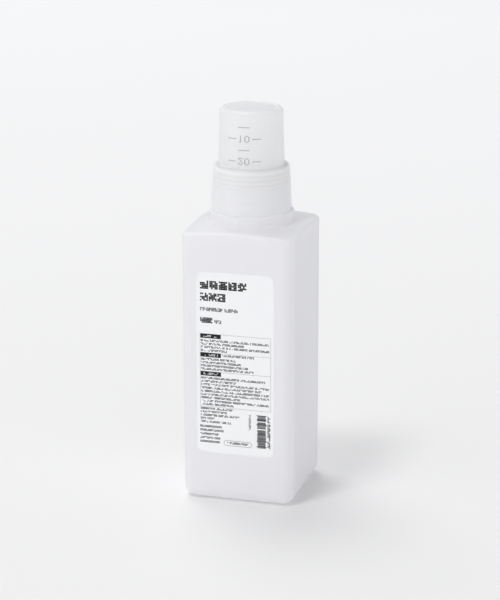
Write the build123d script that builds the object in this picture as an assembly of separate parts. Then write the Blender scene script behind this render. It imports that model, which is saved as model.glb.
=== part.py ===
"""Square milky refill bottle for laundry detergent, with a screw-on measuring cap.

The bottle stands on its base at Z = 0 with its label towards -Y. All sizes are in millimetres. The model has
five pieces: the blown bottle, the pour spout pressed into its neck, the sealing ring, the measuring cap that
turns on the neck's thread, and the film label on the front.
"""

import os
from math import cos, pi, radians, sin, sqrt

from build123d import *

# Body of the bottle
BODY_WIDTH = 61.0
BODY_DEPTH = 61.0
SHOULDER_HEIGHT = 149.2
BODY_CORNER_RADIUS = 6.0
SHOULDER_EDGE_RADIUS = 2.4
SHOULDER_DOME_RADIUS = 240.0
BASE_EDGE_RADIUS = 6.5
BOTTLE_WALL = 1.0
BASE_RECESS_DEPTH = 2.0
BASE_RIM_WIDTH = 4.0
BASE_RECESS_SLOPE = 40.0

# Round collar at the foot of the neck, and the two ribs moulded on it
COLLAR_RADIUS = 22.4
COLLAR_HEIGHT = 6.4
COLLAR_TOP_ROUND = 0.9
COLLAR_FOOT_FILLET = 1.3
COLLAR_RIB_ANGLES = (-3.2, 24.5)
COLLAR_RIB_WIDTH = 0.8
COLLAR_RIB_RELIEF = 0.3

# Threaded neck
NECK_RADIUS = 17.6
NECK_WALL = 1.7
NECK_HEIGHT = 26.4
THREAD_LEAD = 4.5
THREAD_TURNS = 1.25
CAP_THREAD_TURNS = 1.0
THREAD_RELIEF = 1.2
THREAD_ROOT_WIDTH = 1.8
THREAD_CREST_WIDTH = 0.8
THREAD_BELOW_RIM = 5.0
THREAD_SINK = 0.3
THREAD_RADIAL_PLAY = 0.4
THREAD_FLANK_PLAY = 0.3

# Pour spout in the neck
SPOUT_FLANGE_THICKNESS = 1.5
SPOUT_PLUG_PLAY = 0.1
SPOUT_PLUG_DEPTH = 9.6
SPOUT_WALL = 1.1
SPOUT_TUBE_RADIUS = 8.6
SPOUT_TUBE_HEIGHT = 24.0
SPOUT_LIP_FLARE = 1.2
SPOUT_LIP_HEIGHT = 3.6
SPOUT_FLOOR_DROP = 2.4
SPOUT_CUT_ANGLE = 20.0
DRAIN_HOLE_RADIUS = 1.8

# Sealing ring between spout and cap
SEAL_THICKNESS = 1.5
SEAL_WALL_PLAY = 0.3

# Measuring cap: skirt around the neck, cup above it
CAP_COLLAR_GAP = 0.2
SKIRT_BOTTOM_RADIUS = 21.3
SKIRT_TOP_RADIUS = 20.15
SKIRT_WALL = 1.1
STEP_THICKNESS = 1.3
STEP_ROUND = 1.8
CUP_FOOT_FILLET = 0.85
CUP_BOTTOM_RADIUS = 17.5
CUP_TOP_RADIUS = 16.7
CUP_HEIGHT = 30.1
CUP_WALL = 0.8
CUP_TOP_ROUND = 2.4
CUP_TOP_THICKNESS = 1.2
CUP_TOP_RECESS = 0.5
GATE_RADIUS = 0.9

# Low pad moulded on the skirt's lower edge
PAD_ANGLE = 15.6
PAD_WIDTH = 11.2
PAD_HEIGHT = 6.6
PAD_RELIEF = 0.25

# Dose marks moulded on the cup's inner wall, read from inside when the cup is the right way up
MM3_PER_ML = 1000.0
DOSES_ML = (5.0, 10.0, 15.0, 20.0)
NUMBERED_DOSES = {10.0: "10", 20.0: "20"}
MARK_ANGLE = 2.2
MARK_RELIEF = 0.3
MARK_STROKE = 0.42
DASH_LENGTH = 5.6
SIDE_DASH_OFFSET = 6.1
SIDE_DASH_LENGTH = 4.2
DIGIT_WIDTH = 2.4
DIGIT_HEIGHT = 3.6
DIGIT_SPACING = 3.2
DEPTH_ROUNDS = 10

# Film label on the front
LABEL_WIDTH = 42.2
LABEL_HEIGHT = 100.0
LABEL_BOTTOM = 27.5
LABEL_OFFSET = -0.4
LABEL_CORNER_RADIUS = 4.0
LABEL_THICKNESS = 0.15

# Heights and radii that follow from the sizes above
COLLAR_TOP = SHOULDER_HEIGHT + COLLAR_HEIGHT
DOME_FOOT_RADIUS = COLLAR_RADIUS + 1.5 * COLLAR_FOOT_FILLET
DOME_CENTRE = SHOULDER_HEIGHT - sqrt(SHOULDER_DOME_RADIUS ** 2 - DOME_FOOT_RADIUS ** 2)
NECK_RIM = SHOULDER_HEIGHT + NECK_HEIGHT
NECK_BORE = NECK_RADIUS - NECK_WALL
FLANGE_TOP = NECK_RIM + SPOUT_FLANGE_THICKNESS
STEP_UNDERSIDE = FLANGE_TOP + SEAL_THICKNESS
STEP_TOP = STEP_UNDERSIDE + STEP_THICKNESS
SKIRT_BOTTOM = COLLAR_TOP + CAP_COLLAR_GAP
CAP_TOP = STEP_TOP + CUP_HEIGHT
CUP_FLOOR = CAP_TOP - CUP_TOP_RECESS - CUP_TOP_THICKNESS
CUP_SLOPE = (CUP_BOTTOM_RADIUS - CUP_TOP_RADIUS) / CUP_HEIGHT
SKIRT_SLOPE = (SKIRT_BOTTOM_RADIUS - SKIRT_TOP_RADIUS) / (STEP_TOP - SKIRT_BOTTOM)
THREAD_TOP = NECK_RIM - THREAD_BELOW_RIM
THREAD_START = THREAD_TOP - THREAD_LEAD * THREAD_TURNS


def domed_block(inset):
    """Upright block with a slightly domed shoulder and rounded edges, drawn in by inset on all sides."""
    outline = RectangleRounded(BODY_WIDTH - 2 * inset, BODY_DEPTH - 2 * inset, BODY_CORNER_RADIUS - inset)
    block = Pos(0, 0, inset) * extrude(outline, SHOULDER_DOME_RADIUS + DOME_CENTRE)
    block = block & Pos(0, 0, DOME_CENTRE) * Sphere(SHOULDER_DOME_RADIUS - inset)
    shoulder = [edge for edge in block.edges() if edge.bounding_box().min.Z > SHOULDER_HEIGHT / 2]
    block = fillet(shoulder, SHOULDER_EDGE_RADIUS - inset)
    return fillet(block.edges().group_by(Axis.Z)[0], BASE_EDGE_RADIUS - inset)


def base_recess(inset):
    """Hollow under the base: a tapered pad that leaves the standing rim, grown upwards by inset."""
    width = BODY_WIDTH - 2 * (BASE_EDGE_RADIUS + BASE_RIM_WIDTH - inset)
    depth = BODY_DEPTH - 2 * (BASE_EDGE_RADIUS + BASE_RIM_WIDTH - inset)
    foot = RectangleRounded(width, depth, BODY_CORNER_RADIUS)
    return extrude(foot, BASE_RECESS_DEPTH + inset, taper=BASE_RECESS_SLOPE)


def ring_section(points):
    """Ring turned from a closed outline of (radius, height) points."""
    return revolve(make_face(Polyline(*[(r, 0, z) for r, z in points], close=True)), Axis.Z)


def thread_ridge(root_radius, crest_radius, start, turns):
    """Helical ridge from its root in a wall to its crest, its middle starting at height start."""
    half_root, half_crest = THREAD_ROOT_WIDTH / 2, THREAD_CREST_WIDTH / 2
    section = make_face(Polyline(
        (root_radius, 0, -half_root), (crest_radius, 0, -half_crest),
        (crest_radius, 0, half_crest), (root_radius, 0, half_root), close=True))
    path = Helix(pitch=THREAD_LEAD, height=THREAD_LEAD * turns, radius=root_radius)
    return Pos(0, 0, start) * sweep(section, path=path, is_frenet=True)


def front_plane(angle, distance=0.0):
    """Upright plane that faces outwards, turned by angle from -Y towards +X."""
    outward = Vector(sin(radians(angle)), -cos(radians(angle)), 0)
    across = Vector(cos(radians(angle)), sin(radians(angle)), 0)
    return Plane(origin=outward * distance, x_dir=across, z_dir=outward)


def make_bottle():
    """Blown bottle: square shell, collar, threaded neck, hollow all through."""
    body = domed_block(0)
    collar = Pos(0, 0, SHOULDER_HEIGHT) * Cylinder(COLLAR_RADIUS, COLLAR_HEIGHT,
                                                   align=(Align.CENTER, Align.CENTER, Align.MIN))
    collar = fillet(collar.edges().group_by(Axis.Z)[-1], COLLAR_TOP_ROUND)
    foot = concave_foot(COLLAR_RADIUS, SHOULDER_HEIGHT, COLLAR_FOOT_FILLET)
    neck = Pos(0, 0, SHOULDER_HEIGHT) * Cylinder(NECK_RADIUS, NECK_HEIGHT,
                                                 align=(Align.CENTER, Align.CENTER, Align.MIN))
    ridge = thread_ridge(NECK_RADIUS - THREAD_SINK, NECK_RADIUS + THREAD_RELIEF, THREAD_START, THREAD_TURNS)
    outer = body + foot + collar + neck + collar_ribs()
    outer = outer - base_recess(0)

    inside = domed_block(BOTTLE_WALL)
    inside = inside - base_recess(BOTTLE_WALL)
    collar_bore = Pos(0, 0, SHOULDER_HEIGHT - 2 * BOTTLE_WALL) * Cylinder(
        COLLAR_RADIUS - BOTTLE_WALL, COLLAR_HEIGHT + BOTTLE_WALL, align=(Align.CENTER, Align.CENTER, Align.MIN))
    neck_bore = Pos(0, 0, SHOULDER_HEIGHT) * Cylinder(
        NECK_BORE, NECK_HEIGHT, align=(Align.CENTER, Align.CENTER, Align.MIN))
    return outer - inside - collar_bore - neck_bore + ridge


def concave_foot(radius, low, size):
    """Concave fillet of the given size that carries a flat face at height low up into a round wall."""
    high = low + size
    toe, sink = radius + size, radius - size
    edge = [
        Line((toe, 0, low), (sink, 0, low)),
        Line((sink, 0, low), (sink, 0, high)),
        Line((sink, 0, high), (radius, 0, high)),
    ]
    arc = Plane.XZ * CenterArc((toe, high), size, 180, 90)
    return revolve(make_face([*edge, arc]), Axis.Z)


def collar_ribs():
    """Two short upright ribs on the collar's wall."""
    height = COLLAR_HEIGHT - COLLAR_FOOT_FILLET - COLLAR_TOP_ROUND
    middle = SHOULDER_HEIGHT + COLLAR_FOOT_FILLET + height / 2
    ribs = [front_plane(angle, COLLAR_RADIUS) * Pos(0, middle, 0)
            * Box(COLLAR_RIB_WIDTH, height, 2 * COLLAR_RIB_RELIEF) for angle in COLLAR_RIB_ANGLES]
    return Part() + ribs


def make_pour_spout():
    """Spout fitment: flange on the rim, plug in the bore, sloping floor, slanted pouring tube."""
    plug = NECK_BORE - SPOUT_PLUG_PLAY
    floor_edge = NECK_RIM - SPOUT_PLUG_DEPTH
    floor_middle = floor_edge - SPOUT_FLOOR_DROP
    tube_bore = SPOUT_TUBE_RADIUS - SPOUT_WALL
    tube_top = floor_middle + SPOUT_TUBE_HEIGHT
    lip_start = tube_top - SPOUT_LIP_HEIGHT
    spout = ring_section([
        (tube_bore, floor_middle - SPOUT_WALL), (SPOUT_TUBE_RADIUS, floor_middle - SPOUT_WALL),
        (plug, floor_edge - SPOUT_WALL), (plug, NECK_RIM), (NECK_RADIUS, NECK_RIM), (NECK_RADIUS, FLANGE_TOP),
        (plug - SPOUT_WALL, FLANGE_TOP), (plug - SPOUT_WALL, floor_edge), (SPOUT_TUBE_RADIUS, floor_middle),
        (SPOUT_TUBE_RADIUS, lip_start), (SPOUT_TUBE_RADIUS + SPOUT_LIP_FLARE, tube_top),
        (tube_bore + SPOUT_LIP_FLARE, tube_top), (tube_bore, lip_start)])
    lip_edge = SPOUT_TUBE_RADIUS + SPOUT_LIP_FLARE
    slant = Pos(0, -lip_edge, tube_top) * Rot(-SPOUT_CUT_ANGLE, 0, 0) * Box(
        4 * lip_edge, 4 * lip_edge, 2 * lip_edge, align=(Align.CENTER, Align.MIN, Align.MIN))
    drain_place = (SPOUT_TUBE_RADIUS + plug - SPOUT_WALL) / 2
    drain = Pos(0, drain_place, floor_edge) * Cylinder(DRAIN_HOLE_RADIUS, 2 * (SPOUT_FLOOR_DROP + SPOUT_WALL))
    return spout - slant - drain


def make_seal_ring():
    """Flat elastic ring that lies on the spout's flange, under the cap's step."""
    outer = skirt_inner_radius(FLANGE_TOP) - SEAL_WALL_PLAY
    inner = CUP_BOTTOM_RADIUS - CUP_WALL
    return ring_section([(inner, FLANGE_TOP), (outer, FLANGE_TOP), (outer, STEP_UNDERSIDE), (inner, STEP_UNDERSIDE)])


def skirt_outer_radius(height):
    """Outer radius of the skirt at a height."""
    return SKIRT_BOTTOM_RADIUS - SKIRT_SLOPE * (height - SKIRT_BOTTOM)


def skirt_inner_radius(height):
    """Inner radius of the skirt at a height."""
    return skirt_outer_radius(height) - SKIRT_WALL


def cup_outer_radius(height):
    """Outer radius of the cup at a height."""
    return CUP_BOTTOM_RADIUS - CUP_SLOPE * (height - STEP_TOP)


def cup_inner_radius(height):
    """Inner radius of the cup at a height."""
    return cup_outer_radius(height) - CUP_WALL


def make_measuring_cap():
    """Cap moulded in one piece: skirt with inner thread, round step, cup with dose marks."""
    skirt = ring_section([(0, SKIRT_BOTTOM), (SKIRT_BOTTOM_RADIUS, SKIRT_BOTTOM),
                          (SKIRT_TOP_RADIUS, STEP_TOP), (0, STEP_TOP)])
    skirt = fillet(skirt.edges().group_by(Axis.Z)[-1], STEP_ROUND)
    cup = ring_section([(0, STEP_UNDERSIDE), (cup_outer_radius(STEP_UNDERSIDE), STEP_UNDERSIDE),
                        (CUP_TOP_RADIUS, CAP_TOP), (0, CAP_TOP)])
    cup = fillet(cup.edges().group_by(Axis.Z)[-1], CUP_TOP_ROUND)
    cup = cup + concave_foot(CUP_BOTTOM_RADIUS, STEP_TOP, CUP_FOOT_FILLET)
    recess_radius = CUP_TOP_RADIUS - CUP_TOP_ROUND
    recess = ring_section([(0, CAP_TOP - CUP_TOP_RECESS), (recess_radius - CUP_TOP_RECESS, CAP_TOP - CUP_TOP_RECESS),
                           (recess_radius, CAP_TOP), (0, CAP_TOP)])
    gate = Pos(0, 0, CAP_TOP - CUP_TOP_RECESS) * Cylinder(GATE_RADIUS, CUP_TOP_RECESS)
    neck_room = ring_section([(0, SKIRT_BOTTOM), (skirt_inner_radius(SKIRT_BOTTOM), SKIRT_BOTTOM),
                              (skirt_inner_radius(STEP_UNDERSIDE), STEP_UNDERSIDE), (0, STEP_UNDERSIDE)])
    cup_room = ring_section([(0, STEP_UNDERSIDE), (cup_inner_radius(STEP_UNDERSIDE), STEP_UNDERSIDE),
                             (cup_inner_radius(CUP_FLOOR), CUP_FLOOR), (0, CUP_FLOOR)])
    cup_room = fillet(cup_room.edges().group_by(Axis.Z)[-1], CUP_TOP_ROUND - CUP_WALL)
    shell = skirt + skirt_pad() + cup - recess + gate - neck_room - cup_room
    return shell + cap_thread() + dose_marks()


def cap_thread():
    """Inner thread of the cap, which hangs under the neck's thread by half widths and the flank play."""
    start = THREAD_START - (THREAD_ROOT_WIDTH + THREAD_CREST_WIDTH) / 2 - THREAD_FLANK_PLAY
    crest = NECK_RADIUS + THREAD_RADIAL_PLAY
    root = skirt_inner_radius(start) + THREAD_SINK
    return thread_ridge(root, crest, start, CAP_THREAD_TURNS)


def skirt_pad():
    """Low rectangular pad on the lower edge of the skirt's front."""
    wall = ring_section([(SKIRT_BOTTOM_RADIUS - SKIRT_WALL / 2, SKIRT_BOTTOM),
                         (SKIRT_BOTTOM_RADIUS + PAD_RELIEF, SKIRT_BOTTOM),
                         (skirt_outer_radius(SKIRT_BOTTOM + PAD_HEIGHT) + PAD_RELIEF, SKIRT_BOTTOM + PAD_HEIGHT),
                         (skirt_outer_radius(SKIRT_BOTTOM + PAD_HEIGHT) - SKIRT_WALL / 2, SKIRT_BOTTOM + PAD_HEIGHT)])
    cutter = front_plane(PAD_ANGLE) * Pos(0, SKIRT_BOTTOM + PAD_HEIGHT / 2, SKIRT_BOTTOM_RADIUS) * Box(
        PAD_WIDTH, PAD_HEIGHT, SKIRT_BOTTOM_RADIUS)
    return wall & cutter


def dose_height(volume_ml):
    """Height of the liquid's surface in the upturned cup, measured on the closed cap."""
    floor_radius = cup_inner_radius(CUP_FLOOR)
    depth = 0.0
    for _ in range(DEPTH_ROUNDS):
        surface_radius = floor_radius + CUP_SLOPE * depth
        mean_area = pi * (floor_radius ** 2 + floor_radius * surface_radius + surface_radius ** 2) / 3
        depth = volume_ml * MM3_PER_ML / mean_area
    return CUP_FLOOR - depth


def digit_strokes(digit):
    """Strokes of one digit, drawn upside down as the wall shows it from outside, centred on the origin."""
    half_width, half_height = DIGIT_WIDTH / 2, DIGIT_HEIGHT / 2
    bar = MARK_STROKE
    if digit == "1":
        return [Rectangle(bar, DIGIT_HEIGHT),
                Pos(-bar, -half_height + bar) * Rotation(0, 0, -45) * Rectangle(bar, 2 * bar)]
    if digit == "0":
        hollow = SlotOverall(DIGIT_HEIGHT - 2 * bar, DIGIT_WIDTH - 2 * bar, rotation=90)
        return [SlotOverall(DIGIT_HEIGHT, DIGIT_WIDTH, rotation=90) - hollow]
    waist = half_width - half_height
    bowl = Pos(0, waist) * (Circle(half_width) - Circle(half_width - bar))
    bowl = bowl - Pos(0, waist + half_width / 2) * Rectangle(DIGIT_WIDTH, half_width)
    foot = Pos(0, half_height - bar / 2) * Rectangle(DIGIT_WIDTH, bar)
    slope = Line((half_width - bar / 2, waist), (bar / 2 - half_width, half_height - bar / 2))
    return [bowl, foot, trace(slope, bar)]


def dose_marks():
    """Raised dashes and numerals on the cup's inner wall, at the heights of the doses."""
    shapes = []
    for dose in DOSES_ML:
        height = dose_height(dose)
        if dose in NUMBERED_DOSES:
            shapes += [Pos(side * SIDE_DASH_OFFSET, height) * Rectangle(SIDE_DASH_LENGTH, MARK_STROKE)
                       for side in (-1, 1)]
            digits = NUMBERED_DOSES[dose]
            for place, digit in enumerate(digits):
                offset = (place - (len(digits) - 1) / 2) * DIGIT_SPACING
                shapes += [Pos(offset, height) * stroke for stroke in digit_strokes(digit)]
        else:
            shapes.append(Pos(0, height) * Rectangle(DASH_LENGTH, MARK_STROKE))
    marks = Part() + [extrude(front_plane(MARK_ANGLE) * shape, CUP_BOTTOM_RADIUS) for shape in shapes]
    low, high = STEP_TOP, CUP_FLOOR
    sleeve = ring_section([
        (cup_inner_radius(low) - MARK_RELIEF, low), (cup_inner_radius(low) + CUP_WALL / 2, low),
        (cup_inner_radius(high) + CUP_WALL / 2, high), (cup_inner_radius(high) - MARK_RELIEF, high)])
    return marks & sleeve


def make_front_label():
    """Film label with round corners on the flat front face."""
    film = extrude(RectangleRounded(LABEL_WIDTH, LABEL_HEIGHT, LABEL_CORNER_RADIUS), LABEL_THICKNESS)
    return front_plane(0, BODY_DEPTH / 2) * Pos(LABEL_OFFSET, LABEL_BOTTOM + LABEL_HEIGHT / 2, 0) * film


def main():
    """Build each piece and write its STEP file."""
    os.makedirs("parts", exist_ok=True)
    pieces = {
        "bottle": make_bottle(),
        "pour_spout": make_pour_spout(),
        "seal_ring": make_seal_ring(),
        "measuring_cap": make_measuring_cap(),
        "front_label": make_front_label(),
    }
    for name, piece in pieces.items():
        export_step(piece, f"parts/{name}.step")


main()
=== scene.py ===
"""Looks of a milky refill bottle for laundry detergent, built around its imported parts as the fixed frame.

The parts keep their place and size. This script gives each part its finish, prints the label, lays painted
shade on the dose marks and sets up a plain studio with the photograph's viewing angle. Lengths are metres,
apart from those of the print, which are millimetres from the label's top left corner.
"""

import logging
import math
from collections.abc import Iterator
from dataclasses import dataclass, field
from enum import Enum

import bmesh
import bpy
from mathutils import Matrix, Vector


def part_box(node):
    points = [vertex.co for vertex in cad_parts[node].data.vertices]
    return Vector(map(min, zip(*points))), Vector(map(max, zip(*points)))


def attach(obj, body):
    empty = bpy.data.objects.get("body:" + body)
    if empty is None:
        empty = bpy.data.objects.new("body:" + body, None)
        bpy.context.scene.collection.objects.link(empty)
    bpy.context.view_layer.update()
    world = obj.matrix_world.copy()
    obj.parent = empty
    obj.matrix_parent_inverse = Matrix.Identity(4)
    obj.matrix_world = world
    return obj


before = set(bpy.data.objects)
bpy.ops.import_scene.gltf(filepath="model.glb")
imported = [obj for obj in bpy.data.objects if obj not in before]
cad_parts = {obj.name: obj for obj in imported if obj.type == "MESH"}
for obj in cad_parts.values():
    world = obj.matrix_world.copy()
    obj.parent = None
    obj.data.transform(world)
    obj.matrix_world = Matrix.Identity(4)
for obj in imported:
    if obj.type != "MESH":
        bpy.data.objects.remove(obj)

MM = 0.001
Colour = tuple[float, float, float]
Value = bpy.types.NodeSocket | float
Sockets = dict[str, bpy.types.NodeSocket]
log = logging.getLogger("refill_bottle")


class Ink(Enum):
    """Inks of the label's print."""

    BLACK = "ink_black"
    GREY = "ink_grey"
    LINE = "ink_line_grey"
    WHITE = "ink_white"


class NodeCalls:
    """Short calls that add and join nodes in one tree."""

    def __init__(self, tree: bpy.types.NodeTree) -> None:
        """Keep the tree.

        Args:
            tree: The node tree of a material, a group or a modifier.
        """
        self.tree = tree

    def add(self, kind: str, **settings: object) -> bpy.types.Node:
        """Add a node.

        Args:
            kind: The node's type name, such as ShaderNodeMath.
            settings: Properties of the node and their values.

        Returns:
            The new node.
        """
        node = self.tree.nodes.new(kind)
        for name, value in settings.items():
            setattr(node, name, value)
        return node

    def put(self, value: object, target: bpy.types.NodeSocket) -> None:
        """Link a socket to an input, or set a plain value on it.

        Args:
            value: An output socket or a plain value.
            target: The input.
        """
        if isinstance(value, bpy.types.NodeSocket):
            self.tree.links.new(value, target)
        else:
            target.default_value = value

    def math(self, operation: str, *values: Value) -> bpy.types.NodeSocket:
        """Add a Math node.

        Args:
            operation: The operation's name, such as MULTIPLY.
            values: One number or output socket for each input.

        Returns:
            The node's output socket.
        """
        node = self.add("ShaderNodeMath", operation=operation)
        for place, value in enumerate(values):
            self.put(value, node.inputs[place])
        return node.outputs[0]

    def feed(self, node: bpy.types.Node, **values: object) -> bpy.types.Node:
        """Put values or sockets on a node's inputs.

        Args:
            node: The node.
            values: Input names, with underscores for spaces, and the values or sockets they take.

        Returns:
            The same node.
        """
        for name, value in values.items():
            self.put(value, node.inputs[name.replace("_", " ")])
        return node

    def mix(self, share: Value, first: object, second: object) -> bpy.types.NodeSocket:
        """Mix two colours.

        Args:
            share: How much of the second colour is used.
            first: A colour or its socket.
            second: A colour or its socket.

        Returns:
            The mixed colour's socket.
        """
        node = self.add("ShaderNodeMix", data_type="RGBA")
        for name, value in (("Factor_Float", share), ("A_Color", first), ("B_Color", second)):
            self.put(value, next(socket for socket in node.inputs if socket.identifier == name))
        return next(socket for socket in node.outputs if socket.identifier == "Result_Color")

    def axes(self, point: bpy.types.NodeSocket) -> Sockets:
        """Split a point into its three numbers.

        Args:
            point: The point's socket.

        Returns:
            The sockets of its X, Y and Z, in that order.
        """
        split = self.add("ShaderNodeSeparateXYZ")
        self.put(point, split.inputs[0])
        return dict(zip("XYZ", split.outputs))

    def band(self, value: bpy.types.NodeSocket, middle: float, width: float) -> bpy.types.NodeSocket:
        """Add a soft band that is 1 in its middle and falls to 0 on both sides.

        Args:
            value: The number that the band is laid along.
            middle: The number where the band is 1.
            width: Distance from the middle at which it is about a third.

        Returns:
            The band's socket.
        """
        away = self.math("MULTIPLY_ADD", value, 1.0 / width, -middle / width)
        return self.math("EXPONENT", self.math("MULTIPLY", self.math("MULTIPLY", away, away), -1.0))


def new_group(name: str, inputs: dict[str, str],
              outputs: dict[str, str]) -> tuple[NodeCalls, Sockets, Sockets]:
    """Make an empty shader node group with named sockets.

    Args:
        name: The group's name.
        inputs: Socket names and their types.
        outputs: Socket names and their types.

    Returns:
        Calls on the group's tree, the sockets of what it is given, and those of what it puts out.
    """
    tree = bpy.data.node_groups.new(name, "ShaderNodeTree")
    for in_out, sockets in (("INPUT", inputs), ("OUTPUT", outputs)):
        for label, kind in sockets.items():
            tree.interface.new_socket(name=label, in_out=in_out, socket_type=kind)
    calls = NodeCalls(tree)
    given = {socket.name: socket for socket in calls.add("NodeGroupInput").outputs}
    result = {socket.name: socket for socket in calls.add("NodeGroupOutput").inputs}
    return calls, given, result


class Effects:
    """Shader node groups that several finishes share, built once.

    Attributes:
        MOTTLE_DETAIL: Fineness of the noise that makes a colour uneven.
        SKIN_DETAIL: Fineness of the noise that makes a skin's grain and waves.
        ROUGHNESS_SPREAD: How far a skin's roughness varies around its value, as a share of it.
    """

    MOTTLE_DETAIL = 3.0
    SKIN_DETAIL = 2.0
    ROUGHNESS_SPREAD = 0.2

    def __init__(self) -> None:
        """Build the groups."""
        self.mottle = self.build_mottle()
        self.skin = self.build_skin()
        self.flutes = self.build_flute_shade()

    @staticmethod
    def build_mottle() -> bpy.types.NodeTree:
        """Build the effect of a colour that is slightly uneven.

        Returns:
            A group with inputs Vector, Colour, Scale and Amount, and output Colour.
        """
        calls, given, result = new_group(
            "uneven_colour",
            {"Vector": "NodeSocketVector", "Colour": "NodeSocketColor", "Scale": "NodeSocketFloat",
             "Amount": "NodeSocketFloat"},
            {"Colour": "NodeSocketColor"})
        noise = calls.feed(calls.add("ShaderNodeTexNoise"), Detail=Effects.MOTTLE_DETAIL,
                           Vector=given["Vector"], Scale=given["Scale"])
        less = calls.math("MULTIPLY", noise.outputs[0], given["Amount"])
        tone_and_mark_shade = calls.add("ShaderNodeVectorMath", operation="SCALE")
        calls.put(given["Colour"], tone_and_mark_shade.inputs[0])
        calls.put(calls.math("SUBTRACT", 1.0, less), tone_and_mark_shade.inputs["Scale"])
        calls.put(tone_and_mark_shade.outputs[0], result["Colour"])
        return calls.tree

    @staticmethod
    def build_flute_shade() -> bpy.types.NodeTree:
        """Build the painted shade of fine upright flutes around the Z axis: stripes that stand in for how the
        flutes catch light.

        Returns:
            A group with inputs Vector, Count and Start, and output Value, which is 0 below the start and
            swings from 0 to 1 from flute to flute above it.
        """
        calls, given, result = new_group(
            "painted_flute_shade",
            {"Vector": "NodeSocketVector", "Count": "NodeSocketFloat", "Start": "NodeSocketFloat"},
            {"Value": "NodeSocketFloat"})
        axes = calls.axes(given["Vector"])
        angle = calls.math("ARCTAN2", axes["X"], axes["Y"])
        swing = calls.math("SINE", calls.math("MULTIPLY", angle, given["Count"]))
        depth = calls.math("MULTIPLY_ADD", swing, 0.5, 0.5)
        above = calls.math("GREATER_THAN", axes["Z"], given["Start"])
        calls.put(calls.math("MULTIPLY", depth, above), result["Value"])
        return calls.tree

    @staticmethod
    def build_skin() -> bpy.types.NodeTree:
        """Build the effect of a moulded or coated skin: a fine grain on long, shallow waves.

        Returns:
            A group with inputs Vector, Grain Scale, Grain, Wave Scale, Wave and Roughness, and outputs Height
            and Roughness.
        """
        calls, given, result = new_group(
            "moulded_skin",
            {"Vector": "NodeSocketVector", "Grain Scale": "NodeSocketFloat", "Grain": "NodeSocketFloat",
             "Wave Scale": "NodeSocketFloat", "Wave": "NodeSocketFloat", "Roughness": "NodeSocketFloat"},
            {"Height": "NodeSocketFloat", "Roughness": "NodeSocketFloat"})
        heights = []
        for name in ("Grain", "Wave"):
            noise = calls.feed(calls.add("ShaderNodeTexNoise"), Detail=Effects.SKIN_DETAIL,
                               Vector=given["Vector"], Scale=given[name + " Scale"])
            heights.append(calls.math("MULTIPLY", noise.outputs[0], given[name]))
        calls.put(calls.math("ADD", *heights), result["Height"])
        uneven = calls.math("MULTIPLY_ADD", noise.outputs[0], Effects.ROUGHNESS_SPREAD,
                            1.0 - Effects.ROUGHNESS_SPREAD / 2)
        calls.put(calls.math("MULTIPLY", uneven, given["Roughness"]), result["Roughness"])
        return calls.tree


@dataclass(frozen=True)
class Finish:
    """Finish of one of the bottle's materials.

    Attributes:
        name: The material's name.
        colour: Its colour.
        roughness: Roughness of its skin.
        mottle: How much darker the colour gets in places.
        mottle_scale: Size of those places, as a noise scale.
        grain: Height of the skin's fine grain.
        grain_scale: Size of the grain, as a noise scale.
        wave: Height of the skin's long waves.
        wave_scale: Size of the waves, as a noise scale.
        gloss: Specular level of the skin.
        flute_count: Number of fine upright flutes around the Z axis.
        flute_shade_depth: How strongly the painted shade of the flutes changes the colour.
        flute_shade_colour: The colour of that painted shade, darker or lighter than the rest.
        flute_from: Height above which they run.
    """

    name: str
    colour: Colour
    roughness: float
    mottle: float = 0.02
    mottle_scale: float = 60.0
    grain: float = 0.002 * MM
    grain_scale: float = 1500.0
    wave: float = 0.02 * MM
    wave_scale: float = 35.0
    gloss: float = 0.5
    flute_count: float = 98.0
    flute_shade_depth: float = 0.0
    flute_shade_colour: Colour = (0.0, 0.0, 0.0)
    flute_from: float = 0.0

    def material(self, effects: Effects) -> bpy.types.Material:
        """Build the material.

        Args:
            effects: The shared effects.

        Returns:
            The material, ready for a node's or a piece's slot.
        """
        made = bpy.data.materials.new(self.name)
        made.use_nodes = True
        calls = NodeCalls(made.node_tree)
        surface = made.node_tree.nodes["Principled BSDF"]
        place = calls.add("ShaderNodeTexCoord").outputs["Object"]
        mottle = calls.feed(calls.add("ShaderNodeGroup", node_tree=effects.mottle), Vector=place,
                            Colour=(*self.colour, 1.0), Scale=self.mottle_scale, Amount=self.mottle)
        tone = mottle.outputs["Colour"]
        # Painted shade: upright stripes, darker or lighter where the flutes run, standing in for their light
        # and shade.
        if self.flute_shade_depth:
            flutes = calls.feed(calls.add("ShaderNodeGroup", node_tree=effects.flutes), Vector=place,
                                Count=self.flute_count, Start=self.flute_from)
            share = calls.math("MULTIPLY", flutes.outputs["Value"], self.flute_shade_depth)
            tone = calls.mix(share, tone, (*self.flute_shade_colour, 1.0))
        skin = calls.feed(calls.add("ShaderNodeGroup", node_tree=effects.skin), Vector=place,
                          Grain_Scale=self.grain_scale, Grain=self.grain, Wave_Scale=self.wave_scale,
                          Wave=self.wave, Roughness=self.roughness)
        bump = calls.feed(calls.add("ShaderNodeBump"), Distance=1.0,
                          Height=self.raised(calls, place, skin.outputs["Height"]))
        calls.feed(surface, Base_Color=self.with_painted_shade(calls, place, tone), Normal=bump.outputs["Normal"],
                   Roughness=skin.outputs["Roughness"], Specular_IOR_Level=self.gloss)
        self.finish_light(calls, surface)
        return made

    def with_painted_shade(self, calls: NodeCalls, place: bpy.types.NodeSocket,
               colour: bpy.types.NodeSocket) -> bpy.types.NodeSocket:
        """Return the colour as it is: a plain finish has no painted shade."""
        return colour

    def raised(self, calls: NodeCalls, place: bpy.types.NodeSocket,
               height: bpy.types.NodeSocket) -> bpy.types.NodeSocket:
        """Return the skin's height as it is: a plain finish has nothing raised on it."""
        return height

    def finish_light(self, calls: NodeCalls, surface: bpy.types.Node) -> None:
        """Leave the surface opaque: a plain finish lets no light in."""


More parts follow.
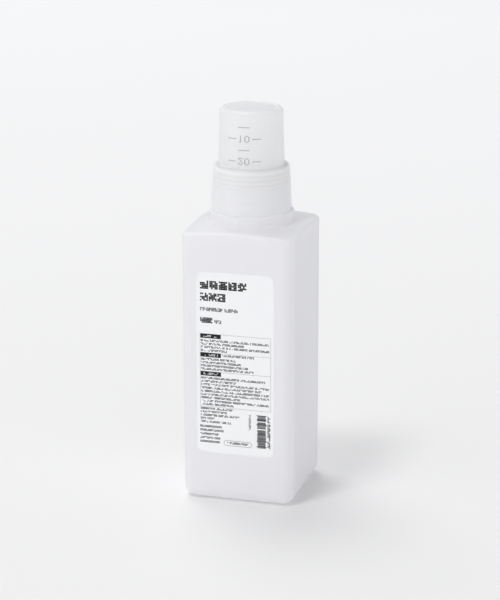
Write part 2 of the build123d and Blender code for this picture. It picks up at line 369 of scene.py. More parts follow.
@dataclass(frozen=True)
class MilkyPlastic(Finish):
    """Finish of a translucent moulded plastic, which scatters light once in each wall.

    Attributes:
        glow: Share of the light that goes on through the wall, scattered.
        sheer: Share of the light that goes straight through.
        edge_shade: How strongly painted shade greys the colour where the wall is seen edge on, standing in
            for the light lost where more plastic lies in the way.
        edge_shade_colour: The greyer colour of that painted shade.
        edge_shade_power: How close to edge on that has to be.
    """

    glow: float = 0.35
    sheer: float = 0.0
    edge_shade: float = 0.3
    edge_shade_colour: Colour = (0.62, 0.64, 0.72)
    edge_shade_power: float = 4.0

    def with_painted_shade(self, calls: NodeCalls, place: bpy.types.NodeSocket,
               colour: bpy.types.NodeSocket) -> bpy.types.NodeSocket:
        """Paint shade into the colour where the wall is seen edge on, standing in for the light lost where
        more plastic lies in the way.

        Args:
            calls: Calls on the material's tree.
            place: The point in the object's frame; not used here.
            colour: The plain colour.

        Returns:
            The colour with that painted shade.
        """
        # Painted shade: the colour turns greyer the more edge on the wall is seen.
        facing = calls.add("ShaderNodeLayerWeight").outputs["Facing"]
        share = calls.math("MULTIPLY", calls.math("POWER", facing, self.edge_shade_power), self.edge_shade)
        return calls.mix(share, colour, (*self.edge_shade_colour, 1.0))

    def finish_light(self, calls: NodeCalls, surface: bpy.types.Node) -> None:
        """Send part of the light through the wall, and let light that leaves the wall pass.

        Args:
            calls: Calls on the material's tree.
            surface: The material's Principled node.
        """
        scattered = calls.add("ShaderNodeBsdfTranslucent")
        for name, target in (("Base Color", "Color"), ("Normal", "Normal")):
            calls.put(surface.inputs[name].links[0].from_socket, scattered.inputs[target])
        clear = calls.add("ShaderNodeBsdfTransparent").outputs[0]
        wall = self.blend(calls, self.glow, surface.outputs[0], scattered.outputs[0])
        if self.sheer:
            wall = self.blend(calls, self.sheer, wall, clear)
        leaving = calls.add("ShaderNodeNewGeometry").outputs["Backfacing"]
        passed = self.blend(calls, leaving, wall, clear)
        calls.put(passed, calls.tree.nodes["Material Output"].inputs["Surface"])

    @staticmethod
    def blend(calls: NodeCalls, share: Value, first: bpy.types.NodeSocket,
              second: bpy.types.NodeSocket) -> bpy.types.NodeSocket:
        """Blend two shaders.

        Args:
            calls: Calls on the material's tree.
            share: How much of the second shader is used.
            first: A shader's socket.
            second: A shader's socket.

        Returns:
            The blended shader's socket.
        """
        mix = calls.add("ShaderNodeMixShader")
        for place, value in enumerate((share, first, second)):
            calls.put(value, mix.inputs[place])
        return mix.outputs[0]


@dataclass(frozen=True)
class CapPlastic(MilkyPlastic):
    """Milky plastic of the measuring cap, with painted shade on its dose marks, and faint rings of what its
    skirt hides, partly painted shade and partly raised.

    Attributes:
        ink: Grey painted where the dose marks stand in from the cup's inner wall: painted shade, standing in
            for how the moulded marks show through the milky wall.
        wall_low: Inner radius and height of the cup's wall below the marks.
        wall_high: Inner radius and height of the cup's wall above the marks.
        relief: How far the marks stand in.
        mark_shade_from: How far inside the wall that painted shade starts.
        shade_heights: Heights of the faint dark rings on the skirt, painted shade standing in for the edges
            that the skirt hides.
        shade: How much darker that painted shade makes them.
        shade_width: Half their width.
        light_heights: Heights of the faint raised rings on the skirt.
        ring_relief: How far those stand out.
        ring_width: Half their width.
    """

    ink: Colour = (0.2, 0.2, 0.21)
    wall_low: tuple[float, float] = (16.684 * MM, 180.5 * MM)
    wall_high: tuple[float, float] = (16.046 * MM, 204.5 * MM)
    relief: float = 0.3 * MM
    mark_shade_from: float = 0.1 * MM
    shade_heights: tuple[float, ...] = (176.5 * MM, 174.1 * MM, 171.8 * MM)
    shade: float = 0.04
    shade_width: float = 0.6 * MM
    light_heights: tuple[float, ...] = (177.6 * MM, 175.05 * MM, 170.4 * MM)
    ring_relief: float = 0.09 * MM
    ring_width: float = 0.3 * MM

    def with_painted_shade(self, calls: NodeCalls, place: bpy.types.NodeSocket,
               colour: bpy.types.NodeSocket) -> bpy.types.NodeSocket:
        """Paint shade into the colour: grey on the dose marks and, a little, on the skirt's rings.

        Args:
            calls: Calls on the material's tree.
            place: The point in the object's frame.
            colour: The plain colour.

        Returns:
            The colour with the painted shade of the marks and rings.
        """
        colour = super().with_painted_shade(calls, place, colour)
        across, along, height = calls.axes(place).values()
        radius = calls.math("SQRT", calls.math("MULTIPLY_ADD", across, across,
                                               calls.math("MULTIPLY", along, along)))
        slope = (self.wall_high[0] - self.wall_low[0]) / (self.wall_high[1] - self.wall_low[1])
        wall = calls.math("MULTIPLY_ADD", height, slope, self.wall_low[0] - slope * self.wall_low[1])
        # Painted shade: grey on the fronts of the dose marks, standing in for how the moulded marks show
        # through the wall.
        stands_in = calls.math("LESS_THAN", radius, calls.math("SUBTRACT", wall, self.mark_shade_from))
        in_scale = calls.math("MULTIPLY", calls.math("GREATER_THAN", height, self.wall_low[1]),
                              calls.math("LESS_THAN", height, self.wall_high[1]))
        # Painted shade: faint dark rings on the skirt at the heights of the edges that it hides.
        rings = self.rings(calls, height, self.shade_heights, self.shade_width)
        shaded = calls.mix(calls.math("MULTIPLY", rings, self.shade), colour, (0.0, 0.0, 0.0, 1.0))
        return calls.mix(calls.math("MULTIPLY", stands_in, in_scale), shaded, (*self.ink, 1.0))

    def raised(self, calls: NodeCalls, place: bpy.types.NodeSocket,
               height: bpy.types.NodeSocket) -> bpy.types.NodeSocket:
        """Raise the skirt's faint rings.

        Args:
            calls: Calls on the material's tree.
            place: The point in the object's frame.
            height: The skin's height.

        Returns:
            The height with the rings.
        """
        rings = self.rings(calls, calls.axes(place)["Z"], self.light_heights, self.ring_width)
        return calls.math("MULTIPLY_ADD", rings, self.ring_relief, height)

    @staticmethod
    def rings(calls: NodeCalls, along: bpy.types.NodeSocket, heights: tuple[float, ...],
              width: float) -> bpy.types.NodeSocket:
        """Add up soft bands at the given heights.

        Args:
            calls: Calls on the material's tree.
            along: The point's height.
            heights: Heights of the bands' middles.
            width: Half the width of a band.

        Returns:
            The sum's socket.
        """
        total = calls.band(along, heights[0], width)
        for middle in heights[1:]:
            total = calls.math("ADD", total, calls.band(along, middle, width))
        return total


def dress(node: str, material: bpy.types.Material) -> None:
    """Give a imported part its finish.

    Args:
        node: The part's name.
        material: The material that all its faces take.
    """
    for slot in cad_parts[node].material_slots:
        slot.material = material
    log.info("%s dressed in %s", node, material.name)


def add_piece(name: str, mesh: bpy.types.Mesh, body: str) -> bpy.types.Object:
    """Add a piece that rides on a body.

    Args:
        name: The piece's name.
        mesh: Its mesh, in place.
        body: The body it moves with.

    Returns:
        The piece.
    """
    mesh.name = name
    piece = bpy.data.objects.new(name, mesh)
    bpy.context.scene.collection.objects.link(piece)
    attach(piece, body)
    log.info("%s added with %d faces", name, len(mesh.polygons))
    return piece


class ModelledTree:
    """A Geometry Nodes tree with named inputs, run once for each patch of print."""

    def __init__(self, name: str, sockets: dict[str, str]) -> None:
        """Make the tree and its sockets.

        Args:
            name: The tree's name.
            sockets: Names and types of its inputs.
        """
        self.calls = NodeCalls(bpy.data.node_groups.new(name, "GeometryNodeTree"))
        interface = self.calls.tree.interface
        self.keys = {label: interface.new_socket(name=label, in_out="INPUT", socket_type=kind).identifier
                     for label, kind in sockets.items()}
        interface.new_socket(name="Geometry", in_out="OUTPUT", socket_type="NodeSocketGeometry")
        self.given = self.calls.add("NodeGroupInput").outputs

    def end(self, geometry: bpy.types.NodeSocket) -> None:
        """Realize the instances, set the ink and put the geometry out.

        Args:
            geometry: The socket of what was made.
        """
        calls = self.calls
        real = calls.feed(calls.add("GeometryNodeRealizeInstances"), Geometry=geometry)
        inked = calls.feed(calls.add("GeometryNodeSetMaterial"), Geometry=real.outputs["Geometry"],
                           Material=self.given["Ink"])
        calls.feed(calls.add("NodeGroupOutput"), Geometry=inked.outputs["Geometry"])

    def mesh(self, **values: object) -> bpy.types.Mesh:
        """Run the tree.

        Args:
            values: Input names, with underscores for spaces, and their values.

        Returns:
            The result as a plain mesh.
        """
        carrier = bpy.data.objects.new("carrier", bpy.data.meshes.new("carrier"))
        bpy.context.scene.collection.objects.link(carrier)
        modifier = carrier.modifiers.new("tree", "NODES")
        modifier.node_group = self.calls.tree
        for name, value in values.items():
            modifier[self.keys[name.replace("_", " ")]] = value
        graph = bpy.context.evaluated_depsgraph_get()
        made = bpy.data.meshes.new_from_object(carrier.evaluated_get(graph))
        bpy.data.objects.remove(carrier)
        return made


class TileTree(ModelledTree):
    """Lays a patch of ink tiles in rows and columns, with its top left corner on the origin."""

    SOCKETS = {
        "Columns": "NodeSocketInt", "Rows": "NodeSocketInt", "Column Pitch": "NodeSocketFloat",
        "Row Pitch": "NodeSocketFloat", "Tile Width": "NodeSocketFloat", "Tile Height": "NodeSocketFloat",
        "Uneven": "NodeSocketFloat", "Coverage": "NodeSocketFloat", "Thickness": "NodeSocketFloat",
        "Seed": "NodeSocketInt", "Ink": "NodeSocketMaterial",
    }

    def __init__(self) -> None:
        """Build the tree: a line of points folded into rows, thinned out, with a tile on each point."""
        super().__init__("ink_tiles", self.SOCKETS)
        calls, given = self.calls, self.given
        line = calls.feed(calls.add("GeometryNodeMeshLine"),
                          Count=calls.math("MULTIPLY", given["Columns"], given["Rows"]))
        index = calls.add("GeometryNodeInputIndex").outputs[0]
        column = calls.math("ADD", calls.math("MODULO", index, given["Columns"]), 0.5)
        row = calls.math("ADD", calls.math("FLOOR", calls.math("DIVIDE", index, given["Columns"])), 0.5)
        down = calls.math("MULTIPLY", row, -1.0)
        corner = calls.feed(calls.add("ShaderNodeCombineXYZ"),
                            X=calls.math("MULTIPLY", column, given["Column Pitch"]),
                            Z=calls.math("MULTIPLY", down, given["Row Pitch"]))
        place = calls.feed(calls.add("GeometryNodeSetPosition"), Geometry=line.outputs["Mesh"],
                           Position=corner.outputs[0])
        thin = calls.feed(calls.add("GeometryNodeDeleteGeometry", domain="POINT"),
                          Geometry=place.outputs["Geometry"],
                          Selection=calls.math("GREATER_THAN", self.chance(0), given["Coverage"]))
        size = calls.add("ShaderNodeCombineXYZ")
        for axis, name, shift in (("X", "Tile Width", 1), ("Z", "Tile Height", 2)):
            less = calls.math("MULTIPLY", self.chance(shift), given["Uneven"])
            left = calls.math("SUBTRACT", 1.0, less)
            calls.put(calls.math("MULTIPLY", left, given[name]), size.inputs[axis])
        calls.put(given["Thickness"], size.inputs["Y"])
        spread = calls.feed(calls.add("GeometryNodeInstanceOnPoints"), Points=thin.outputs["Geometry"],
                            Instance=calls.add("GeometryNodeMeshCube").outputs["Mesh"],
                            Scale=size.outputs[0])
        self.end(spread.outputs["Instances"])

    def chance(self, shift: int) -> bpy.types.NodeSocket:
        """Add a random number from 0 to 1 for each point.

        Args:
            shift: Added to the seed, so that each use draws its own numbers.

        Returns:
            The number's socket.
        """
        calls = self.calls
        node = calls.feed(calls.add("FunctionNodeRandomValue", data_type="FLOAT"),
                          Seed=calls.math("ADD", self.given["Seed"], float(shift)))
        return node.outputs[1]


class OutlineTree(ModelledTree):
    """Draws the outline of a rounded rectangle as a thin strip of ink around the origin."""

    CORNER_STEPS = 6
    SOCKETS = {"Width": "NodeSocketFloat", "Height": "NodeSocketFloat", "Corner Radius": "NodeSocketFloat",
               "Line Width": "NodeSocketFloat", "Thickness": "NodeSocketFloat", "Ink": "NodeSocketMaterial"}

    def __init__(self) -> None:
        """Build the tree: a rounded rectangle swept with a flat profile and stood upright."""
        super().__init__("ink_outline", self.SOCKETS)
        calls, given = self.calls, self.given
        ring = calls.feed(calls.add("GeometryNodeCurvePrimitiveQuadrilateral"),
                          Width=given["Width"], Height=given["Height"])
        rounded = calls.feed(calls.add("GeometryNodeFilletCurve", mode="POLY"), Curve=ring.outputs["Curve"],
                             Count=self.CORNER_STEPS, Radius=given["Corner Radius"])
        section = calls.feed(calls.add("GeometryNodeCurvePrimitiveQuadrilateral"),
                             Width=given["Line Width"], Height=given["Thickness"])
        sweep = calls.feed(calls.add("GeometryNodeCurveToMesh"), Curve=rounded.outputs["Curve"],
                           Profile_Curve=section.outputs["Curve"])
        stand = calls.feed(calls.add("GeometryNodeTransform"), Geometry=sweep.outputs["Mesh"],
                           Rotation=(math.pi / 2, 0.0, 0.0))
        self.end(stand.outputs["Geometry"])


@dataclass
class TilePatch:
    """A patch of small ink tiles in columns and rows, standing where a label has a piece of wording.

    Attributes:
        left: Distance of the patch from the label's left edge, in millimetres.
        top: Distance of the patch from the label's top edge, in millimetres.
        width: Width of the patch, in millimetres.
        height: Height of the patch, in millimetres.
        columns: Number of tiles across.
        rows: Number of tiles down.
        coverage: Share of the tiles that are printed.
        fill: Share of its cell that a tile takes, across and down.
        uneven: How much smaller a tile can be.
        ink: The tiles' ink.
        layer: How many inks lie under it.
    """

    left: float
    top: float
    width: float
    height: float
    columns: int = 1
    rows: int = 1
    coverage: float = 1.0
    fill: tuple[float, float] = (1.0, 1.0)
    uneven: float = 0.0
    ink: Ink = Ink.BLACK
    layer: int = 0


@dataclass
class Outline:
    """A thin outline of a rounded rectangle.

    Attributes:
        left: Distance of its left side from the label's left edge, in millimetres.
        top: Distance of its top from the label's top edge, in millimetres.
        width: Its width, in millimetres.
        height: Its height, in millimetres.
        corner: Radius of its corners, in millimetres.
        line: Width of its line, in millimetres.
        ink: Its ink.
    """

    left: float
    top: float
    width: float
    height: float
    corner: float
    line: float
    ink: Ink = Ink.LINE


@dataclass
class LabelPrint:
    """The print on the front label: plain tiles, bars and lines where a label has its wording.

    Attributes:
        margin: Distance of the print from the label's left edge, in millimetres.
        small_height: Height of a small row, in millimetres.
        small_cell: Width of a small tile's cell, in millimetres.
        medium_cell: Width of a tile's cell in the line below the blocks, in millimetres.
        fill: Share of its cell that a tile takes in small print, across and down.
        hairline: Width of the frame's lines, in millimetres.
        bar: Width and height of a section's dark bar, in millimetres.
        bar_tops: Distances of the bars from the label's top edge, in millimetres.
        frame_box: Left, top, width and height of the framed notes, in millimetres.
        block_lines: Top, size, number and pitch of the blocks in each bold line, in millimetres.
        first_rows: Middles and lengths of the first section's rows, in millimetres.
        second_rows: The same of the second section's rows.
        third_rows: First middle, pitch and lengths of the third section's rows, in millimetres.
        foot_rows: The same of the rows below the frame.
        last_rows: First middle and pitch of the last rows, and their lengths and shares of printed tiles.
        thickness: Thickness of the ink.
    """

    margin: float = 2.05
    small_height: float = 1.25
    small_cell: float = 0.62
    medium_cell: float = 0.68
    fill: tuple[float, float] = (0.92, 0.9)
    hairline: float = 0.14
    bar: tuple[float, float] = (11.25, 2.4)
    bar_tops: tuple[float, ...] = (33.8, 44.2, 54.6)
    frame_box: tuple[float, float, float, float] = (1.85, 33.8, 38.65, 40.4)
    block_lines: tuple[tuple[float, float, int, float], ...] = ((4.7, 4.6, 5, 5.17), (11.4, 4.4, 3, 4.75))
    first_rows: tuple[tuple[float, float], ...] = ((37.45, 37.5), (39.3, 23.6), (41.1, 37.5), (42.9, 14.4))
    second_rows: tuple[tuple[float, float], ...] = ((47.75, 19.2), (49.6, 21.9), (51.4, 25.9), (53.2, 28.8))
    third_rows: tuple[float, float, tuple[float, ...]] = (
        58.2, 1.83, (35.2, 19.4, 37.1, 33.2, 37.5, 37.3, 21.5, 37.3, 18.0))
    foot_rows: tuple[float, float, tuple[float, ...]] = (75.25, 1.85, (18.0, 14.5, 21.6, 8.0, 16.8))
    last_rows: tuple[float, float, tuple[tuple[float, float], ...]] = (
        85.3, 2.15, ((12.1, 0.97), (13.1, 0.97), (10.4, 0.8), (11.1, 0.8), (10.9, 1.0)))
    thickness: float = 0.012 * MM

    def small_row(self, middle: float, width: float, coverage: float = 0.76,
                  left: float = 0.25) -> TilePatch:
        """Describe one row of small print.

        Args:
            middle: Distance of the row's middle from the label's top edge, in millimetres.
            width: Length of the row, in millimetres.
            coverage: Share of the tiles that are printed.
            left: Distance from the margin, in millimetres.

        Returns:
            The row's patch.
        """
        return TilePatch(self.margin + left, middle - self.small_height / 2, width, self.small_height,
                         round(width / self.small_cell), 2, coverage, self.fill, 0.25)

    def block_line(self, top: float, size: float, count: int, pitch: float) -> Iterator[TilePatch]:
        """Describe a bold line of square blocks.

        Args:
            top: Distance of the line from the label's top edge, in millimetres.
            size: Width and height of a block, in millimetres.
            count: Number of blocks.
            pitch: Distance from one block to the next, in millimetres.

        Yields:
            One patch for each block.
        """
        for place in range(count):
            yield TilePatch(self.margin + place * pitch, top, size, size, 5, 5, 0.8, (1.0, 0.98), 0.08)

    def heading(self) -> Iterator[TilePatch]:
        """Describe the bold lines at the top of the label.

        Yields:
            Their patches.
        """
        for block_line in self.block_lines:
            yield from self.block_line(*block_line)
        for left, width in ((0.0, 12.3), (13.3, 7.3)):
            columns = round(width / self.medium_cell)
            yield TilePatch(self.margin + left, 19.3, width, 2.0, columns, 3, 0.8, self.fill, 0.2)
        yield TilePatch(self.margin, 24.8, 6.7, 3.1, 9, 4, 0.84, (0.98, 0.98), 0.1)
        yield TilePatch(self.margin + 7.7, 25.9, 3.9, 2.0, 5, 3, 0.78, (0.9, 0.9), 0.2)

    def notes(self) -> Iterator[TilePatch]:
        """Describe the framed notes: dark bars with pale marks, lines between the sections and rows of print.

        Yields:
            Their patches.
        """
        left, _, width, _ = self.frame_box
        for top in self.bar_tops:
            yield TilePatch(self.margin, top, *self.bar)
            yield TilePatch(self.margin + 1.5, top + 0.55, 8.2, 1.3, 11, 2, 0.62, (0.8, 0.8), 0.3,
                            Ink.WHITE, 1)
        for top in self.bar_tops[1:]:
            yield TilePatch(left, top - self.hairline / 2, width, self.hairline, ink=Ink.LINE)
        for middle, width in self.first_rows:
            yield self.small_row(middle, width)
        yield self.small_row(45.25, 17.5, left=11.9)
        for middle, width in self.second_rows:
            yield self.small_row(middle, width, 0.82)
        first, pitch, widths = self.third_rows
        for place, width in enumerate(widths):
            yield self.small_row(first + place * pitch, width)

    def foot(self) -> Iterator[TilePatch]:
        """Describe the rows below the frame, the bar pattern and the small columns beside it.

        Yields:
            Their patches.
        """
        first, pitch, widths = self.foot_rows
        for place, width in enumerate(widths):
            yield self.small_row(first + place * pitch, width, left=-0.2)
        first, pitch, shares = self.last_rows
        for place, (width, share) in enumerate(shares):
            yield self.small_row(first + place * pitch, width, share, left=-0.5)
        yield TilePatch(28.4, 76.8, 1.3, 8.6, 2, 14, 0.85, self.fill, 0.2, Ink.GREY)
        yield TilePatch(32.6, 76.6, 5.8, 18.5, 1, 34, 0.92, (1.0, 0.95), 0.3)
        yield TilePatch(38.7, 77.0, 1.6, 18.0, 2, 26, 0.8, self.fill, 0.2)
        yield TilePatch(16.5, 93.05, 11.7, 1.3, 17, 2, 0.8, self.fill, 0.2)

    def outlines(self) -> Iterator[Outline]:
        """Describe the notes' frame and the small rounded box at the foot.

        Yields:
            Their outlines.
        """
        yield Outline(*self.frame_box, 0.05, self.hairline)
        yield Outline(14.8, 92.4, 15.2, 2.8, 1.3, 0.2)

    def mesh(self, corner: Vector, inks: dict[Ink, bpy.types.Material]) -> bpy.types.Mesh:
        """Build the whole print.

        Args:
            corner: The label's top left corner, on its front face.
            inks: The inks' materials.

        Returns:
            The print as one mesh, in place.
        """
        tiles, lines, shape = TileTree(), OutlineTree(), bmesh.new()
        order = list(inks)
        for seed, patch in enumerate([*self.heading(), *self.notes(), *self.foot()]):
            pitch = patch.width * MM / patch.columns, patch.height * MM / patch.rows
            made = tiles.mesh(Columns=patch.columns, Rows=patch.rows, Column_Pitch=pitch[0],
                              Row_Pitch=pitch[1], Tile_Width=pitch[0] * patch.fill[0],
                              Tile_Height=pitch[1] * patch.fill[1], Uneven=patch.uneven,
                              Coverage=patch.coverage, Thickness=self.thickness, Seed=10 * seed,
                              Ink=inks[patch.ink])
            self.join(shape, made, corner, (patch.left, patch.top), patch.layer, order.index(patch.ink))
        for line in self.outlines():
            made = lines.mesh(Width=line.width * MM, Height=line.height * MM, Corner_Radius=line.corner * MM,
                              Line_Width=line.line * MM, Thickness=self.thickness, Ink=inks[line.ink])
            middle = line.left + line.width / 2, line.top + line.height / 2
            self.join(shape, made, corner, middle, 0, order.index(line.ink))
        bmesh.ops.recalc_face_normals(shape, faces=shape.faces)
        mesh = bpy.data.meshes.new("label_print")
        shape.to_mesh(mesh)
        shape.free()
        for ink in order:
            mesh.materials.append(inks[ink])
        return mesh

    def join(self, shape: bmesh.types.BMesh, made: bpy.types.Mesh, corner: Vector, place: tuple[float, float],
             layer: int, slot: int) -> None:
        """Add one patch or outline to the print.

        Args:
            shape: The print so far.
            made: The patch, around its own origin.
            corner: The label's top left corner, on its front face.
            place: The patch's place from that corner, across and down, in millimetres.
            layer: How many inks lie under it.
            slot: Number of its ink.
        """
        out = self.thickness * (layer + 0.5)
        made.transform(Matrix.Translation(corner + Vector((place[0] * MM, -out, -place[1] * MM))))
        known = len(shape.faces)
        shape.from_mesh(made)
        shape.faces.ensure_lookup_table()
        for face in shape.faces[known:]:
            face.material_index = slot
        bpy.data.meshes.remove(made)


@dataclass
class RefillBottle:
    """The blow-moulded bottle: square body, shoulder, collar and threaded neck."""

    plastic: MilkyPlastic = MilkyPlastic("milky_polyethylene", (0.966, 0.963, 0.976), 0.33, mottle=0.01,
                                         mottle_scale=30.0, wave=0.04 * MM, wave_scale=28.0)

    def build(self, effects: Effects) -> None:
        """Dress the bottle.

        Args:
            effects: The shared effects.
        """
        dress("bottle", self.plastic.material(effects))


@dataclass
class PourFitment:
    """What the closed cap hides: the pour spout in the neck and the ring that seals the cap."""

    plastic: MilkyPlastic = MilkyPlastic("spout_plastic", (0.992, 0.992, 0.993), 0.35, edge_shade=0.0)
    foam: Finish = Finish("seal_foam_white", (0.97, 0.97, 0.972), 0.8, mottle=0.02, mottle_scale=900.0,
                          grain=0.02 * MM, grain_scale=2500.0)

    def build(self, effects: Effects) -> None:
        """Dress the spout and the ring.

        Args:
            effects: The shared effects.
        """
        dress("pour_spout", self.plastic.material(effects))
        dress("seal_ring", self.foam.material(effects))


@dataclass
class MeasuringCap:
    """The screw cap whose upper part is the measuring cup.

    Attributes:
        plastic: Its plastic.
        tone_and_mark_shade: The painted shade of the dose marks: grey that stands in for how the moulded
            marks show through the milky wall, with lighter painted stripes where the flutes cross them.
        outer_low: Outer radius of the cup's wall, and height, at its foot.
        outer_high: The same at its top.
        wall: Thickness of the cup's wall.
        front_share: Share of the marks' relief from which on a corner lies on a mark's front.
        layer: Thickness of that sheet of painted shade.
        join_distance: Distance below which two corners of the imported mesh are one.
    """

    plastic: CapPlastic = CapPlastic("cap_plastic", (0.994, 0.994, 0.996), 0.24, mottle=0.005, gloss=0.6,
                                     flute_shade_depth=0.04, flute_from=181.0 * MM, glow=0.4, sheer=0.12)
    tone_and_mark_shade: Finish = Finish("painted_grey_dose_marks", (0.3, 0.3, 0.31), 0.35, flute_shade_depth=0.65,
                          flute_shade_colour=(0.8, 0.8, 0.8))
    outer_low: tuple[float, float] = (17.5 * MM, 179.9 * MM)
    outer_high: tuple[float, float] = (16.7 * MM, 210.0 * MM)
    wall: float = 0.8 * MM
    front_share: float = 0.8
    layer: float = 0.02 * MM
    join_distance: float = 0.001 * MM

    def outer_radius(self, height: float) -> float:
        """Work out the cup's outer radius at a height.

        Args:
            height: The height.

        Returns:
            The radius there.
        """
        slope = (self.outer_high[0] - self.outer_low[0]) / (self.outer_high[1] - self.outer_low[1])
        return self.outer_low[0] + slope * (height - self.outer_low[1])

    def on_mark(self, face: bmesh.types.BMFace) -> bool:
        """Tell whether a face is the front of a dose mark, which stands in from the cup's inner wall.

        Args:
            face: A face of the cap.

        Returns:
            True if all its corners lie on a mark's front.
        """
        low, high = self.plastic.wall_low[1], self.plastic.wall_high[1]
        front = self.wall + self.front_share * self.plastic.relief
        corners = [corner.co for corner in face.verts]
        return all(low < corner.z < high and Vector(corner.xy).length < self.outer_radius(corner.z) - front
                   for corner in corners)

    def painted_mark_shade(self) -> bpy.types.Mesh:
        """Copy the fronts of the dose marks and lay them on the cup's outer wall as a thin sheet of painted
        shade.

        Returns:
            The painted shade's mesh, in place.
        """
        shape = bmesh.new()
        shape.from_mesh(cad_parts["measuring_cap"].data)
        bmesh.ops.remove_doubles(shape, verts=shape.verts, dist=self.join_distance)
        rest = [face for face in shape.faces if not self.on_mark(face)]
        bmesh.ops.delete(shape, geom=rest, context="FACES")
        for corner in shape.verts:
            radius = Vector(corner.co.xy).length
            corner.co.xy *= (self.outer_radius(corner.co.z) + self.layer / 2) / radius
        bmesh.ops.reverse_faces(shape, faces=shape.faces)
        bmesh.ops.solidify(shape, geom=list(shape.faces), thickness=self.layer)
        bmesh.ops.recalc_face_normals(shape, faces=shape.faces)
        mesh = bpy.data.meshes.new("dose_mark_painted_shade")
        shape.to_mesh(mesh)
        shape.free()
        return mesh

    def build(self, effects: Effects) -> None:
        """Dress the cap and lay painted shade on its marks.

        Args:
            effects: The shared effects.
        """
        dress("measuring_cap", self.plastic.material(effects))
        # Painted shade: a thin grey sheet copied from the dose marks' fronts and laid on the cup's outer
        # wall.
        mesh = self.painted_mark_shade()
        mesh.materials.append(self.tone_and_mark_shade.material(effects))
        add_piece("dose_mark_painted_shade", mesh, "cap")


@dataclass
class FrontLabel:
    """The film label on the bottle's front, with its print.

    Attributes:
        film: The film's finish.
        printed: The print's layout.
        inks: The inks' finishes.
    """

    film: Finish = Finish("white_film", (0.94, 0.945, 0.955), 0.45, mottle=0.01, grain=0.001 * MM)
    printed: LabelPrint = field(default_factory=LabelPrint)
    inks: tuple[tuple[Ink, Colour], ...] = (
        (Ink.BLACK, (0.012, 0.012, 0.014)), (Ink.GREY, (0.2, 0.2, 0.205)), (Ink.LINE, (0.2, 0.2, 0.205)),
        (Ink.WHITE, (0.85, 0.85, 0.85)))

    def build(self, effects: Effects) -> None:
        """Dress the film and lay the print on it.

        Args:
            effects: The shared effects.
        """
        dress("front_label", self.film.material(effects))
        low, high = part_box("front_label")
        inks = {ink: Finish(ink.value, colour, 0.5, grain=0.001 * MM, gloss=0.25).material(effects)
                for ink, colour in self.inks}
        corner = Vector((low.x, low.y, high.z))
        add_piece("label_print", self.printed.mesh(corner, inks), "bottle")


@dataclass
class SoftLamp:
    """A large round lamp aimed at the middle of the bottle.

    Attributes:
        name: Its name.
        azimuth: Degrees to the right of straight in front, seen from above.
        elevation: Degrees above the floor.
        power: Its power.
        distance: Its distance.
        size: Its width.
        aim: Height of the point that it is aimed at.
    """

    name: str
    azimuth: float
    elevation: float
    power: float
    distance: float = 6.0
    size: float = 3.2
    aim: float = 0.1

    def hang(self) -> None:
        """Hang the lamp."""
        lamp = bpy.data.lights.new(self.name, "AREA")
        lamp.shape = "DISK"
        lamp.size = self.size
        lamp.energy = self.power
        azimuth, elevation = math.radians(self.azimuth), math.radians(self.elevation)
        away = Vector((math.sin(azimuth) * math.cos(elevation), -math.cos(azimuth) * math.cos(elevation),
                       math.sin(elevation)))
        hung = bpy.data.objects.new(self.name, lamp)
        hung.location = Vector((0.0, 0.0, self.aim)) + away * self.distance
        hung.rotation_euler = (-away).to_track_quat("-Z", "Y").to_euler()
        bpy.context.scene.collection.objects.link(hung)


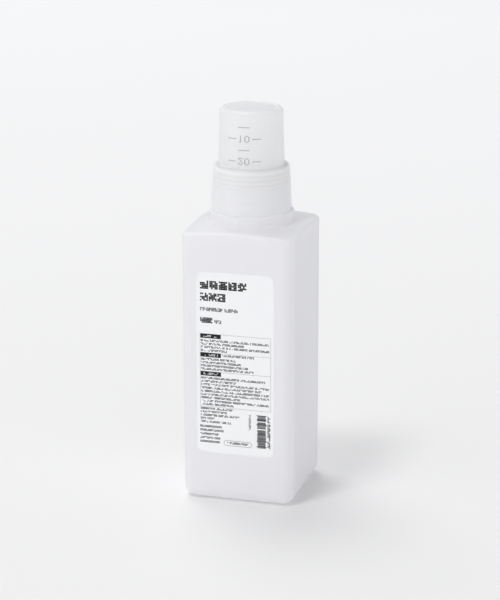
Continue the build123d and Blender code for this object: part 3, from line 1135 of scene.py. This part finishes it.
@dataclass
class Studio:
    """Plain studio: pale floor, soft lamps and the photograph's camera.

    Attributes:
        camera_place: The camera's place.
        heading: Degrees that the camera looks to the left of straight on.
        pitch: Degrees that it looks down.
        roll: Degrees that it leans.
        focal_pixels: Focal length in pixels of the photograph.
        frame_pixels: Width and height of the photograph in pixels.
        floor_radius: Radius of the floor.
        floor_sides: Number of straight sides that its round edge is made of.
        floor_roughness: Roughness of its paper.
        floor_gloss: Specular level of its paper.
        floor_near_shade: Darker colour of the floor in front, the shaded end of its painted light.
        floor_far_light: Lighter colour of the floor far behind, the lit end of its painted light.
        floor_falloff_span: How far behind the bottle the two ends of that painted light are reached.
        sky: Colour of the light from all around.
        sky_even: Its strength from everywhere.
        sky_sides: Axis and direction of the sides from which it is stronger, and by how much at most.
        light_bounces: How often light is passed on between pale surfaces.
        all_bounces: How often it is passed on at all.
        lamps: The lamps.
    """

    camera_place: tuple[float, float, float] = (0.29908, -1.04178, 0.42577)
    heading: float = 16.07
    pitch: float = 16.5
    roll: float = -0.13
    focal_pixels: float = 2111.4
    frame_pixels: tuple[int, int] = (500, 600)
    floor_radius: float = 6.0
    floor_sides: int = 96
    floor_roughness: float = 0.9
    floor_gloss: float = 0.1
    floor_near_shade: Colour = (0.895, 0.89, 0.885)
    floor_far_light: Colour = (0.985, 0.985, 0.985)
    floor_falloff_span: tuple[float, float] = (-0.3, 1.6)
    sky: Colour = (0.97, 0.98, 1.0)
    sky_even: float = 0.02
    sky_sides: tuple[tuple[str, float, float], ...] = (
        ("X", -1.0, 0.67), ("X", 1.0, 0.62), ("Y", -1.0, 0.81), ("Y", 1.0, 0.53))
    light_bounces: int = 16
    all_bounces: int = 28
    lamps: tuple[SoftLamp, ...] = (
        SoftLamp("key", -30.0, 65.0, 68.0, size=1.4), SoftLamp("back", -140.0, 65.0, 95.0),
        SoftLamp("card", -42.0, -3.0, 0.45, distance=0.8, size=0.5, aim=0.168))

    def camera(self) -> None:
        """Place the camera as the photograph's was."""
        lens = bpy.data.cameras.new("camera")
        lens.lens = self.focal_pixels / max(self.frame_pixels) * lens.sensor_width
        eye = bpy.data.objects.new("camera", lens)
        turn = (Matrix.Rotation(math.radians(self.heading), 4, "Z")
                @ Matrix.Rotation(math.radians(90.0 - self.pitch), 4, "X")
                @ Matrix.Rotation(math.radians(self.roll), 4, "Z"))
        eye.matrix_world = Matrix.Translation(self.camera_place) @ turn
        bpy.context.scene.collection.objects.link(eye)
        bpy.context.scene.camera = eye

    def floor(self) -> None:
        """Lay the floor, a wide pale disc whose colour gets lighter towards the back: painted light standing
        in for the lamps' falloff.
        """
        shape = bmesh.new()
        bmesh.ops.create_circle(shape, cap_ends=True, segments=self.floor_sides, radius=self.floor_radius)
        mesh = bpy.data.meshes.new("floor")
        shape.to_mesh(mesh)
        shape.free()
        ground = bpy.data.objects.new("floor", mesh)
        bpy.context.scene.collection.objects.link(ground)
        made = bpy.data.materials.new("floor_paper")
        made.use_nodes = True
        calls = NodeCalls(made.node_tree)
        surface = made.node_tree.nodes["Principled BSDF"]
        axes = calls.axes(calls.add("ShaderNodeTexCoord").outputs["Object"])
        # Painted light: darker in front and lighter behind, standing in for the lamps' falloff.
        falloff = calls.feed(calls.add("ShaderNodeMapRange"), From_Min=self.floor_falloff_span[0],
                          From_Max=self.floor_falloff_span[1], Value=axes["Y"])
        tone = calls.mix(falloff.outputs["Result"], (*self.floor_near_shade, 1.0), (*self.floor_far_light, 1.0))
        calls.feed(surface, Base_Color=tone, Roughness=self.floor_roughness,
                   Specular_IOR_Level=self.floor_gloss)
        mesh.materials.append(made)

    def light(self) -> None:
        """Light the world, more from some sides than from others, and hang the lamps."""
        scene = bpy.context.scene
        scene.world = bpy.data.worlds.new("world")
        scene.world.use_nodes = True
        sky = scene.world.node_tree.nodes["Background"]
        sky.inputs["Color"].default_value = (*self.sky, 1.0)
        calls = NodeCalls(scene.world.node_tree)
        axes = calls.axes(calls.add("ShaderNodeTexCoord").outputs["Generated"])
        strength = self.sky_even
        for axis, sign, extra in self.sky_sides:
            share = calls.math("MAXIMUM", calls.math("MULTIPLY", axes[axis], sign), 0.0)
            strength = calls.math("MULTIPLY_ADD", share, extra, strength)
        calls.put(strength, sky.inputs["Strength"])
        for lamp in self.lamps:
            lamp.hang()
        scene.cycles.diffuse_bounces = self.light_bounces
        scene.cycles.max_bounces = self.all_bounces

    def build(self) -> None:
        """Build the whole studio."""
        self.floor()
        self.light()
        self.camera()
        bpy.context.scene.view_settings.view_transform = "Standard"
        log.info("studio built with %d lamps", len(self.lamps))


def main() -> None:
    """Dress the parts, print the label, lay painted shade on the dose marks and build the studio."""
    logging.basicConfig(level=logging.INFO, format="%(name)s: %(message)s")
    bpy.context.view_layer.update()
    effects = Effects()
    for assembly in (RefillBottle(), PourFitment(), MeasuringCap(), FrontLabel()):
        assembly.build(effects)
    Studio().build()


if __name__ == "__main__":
    main()
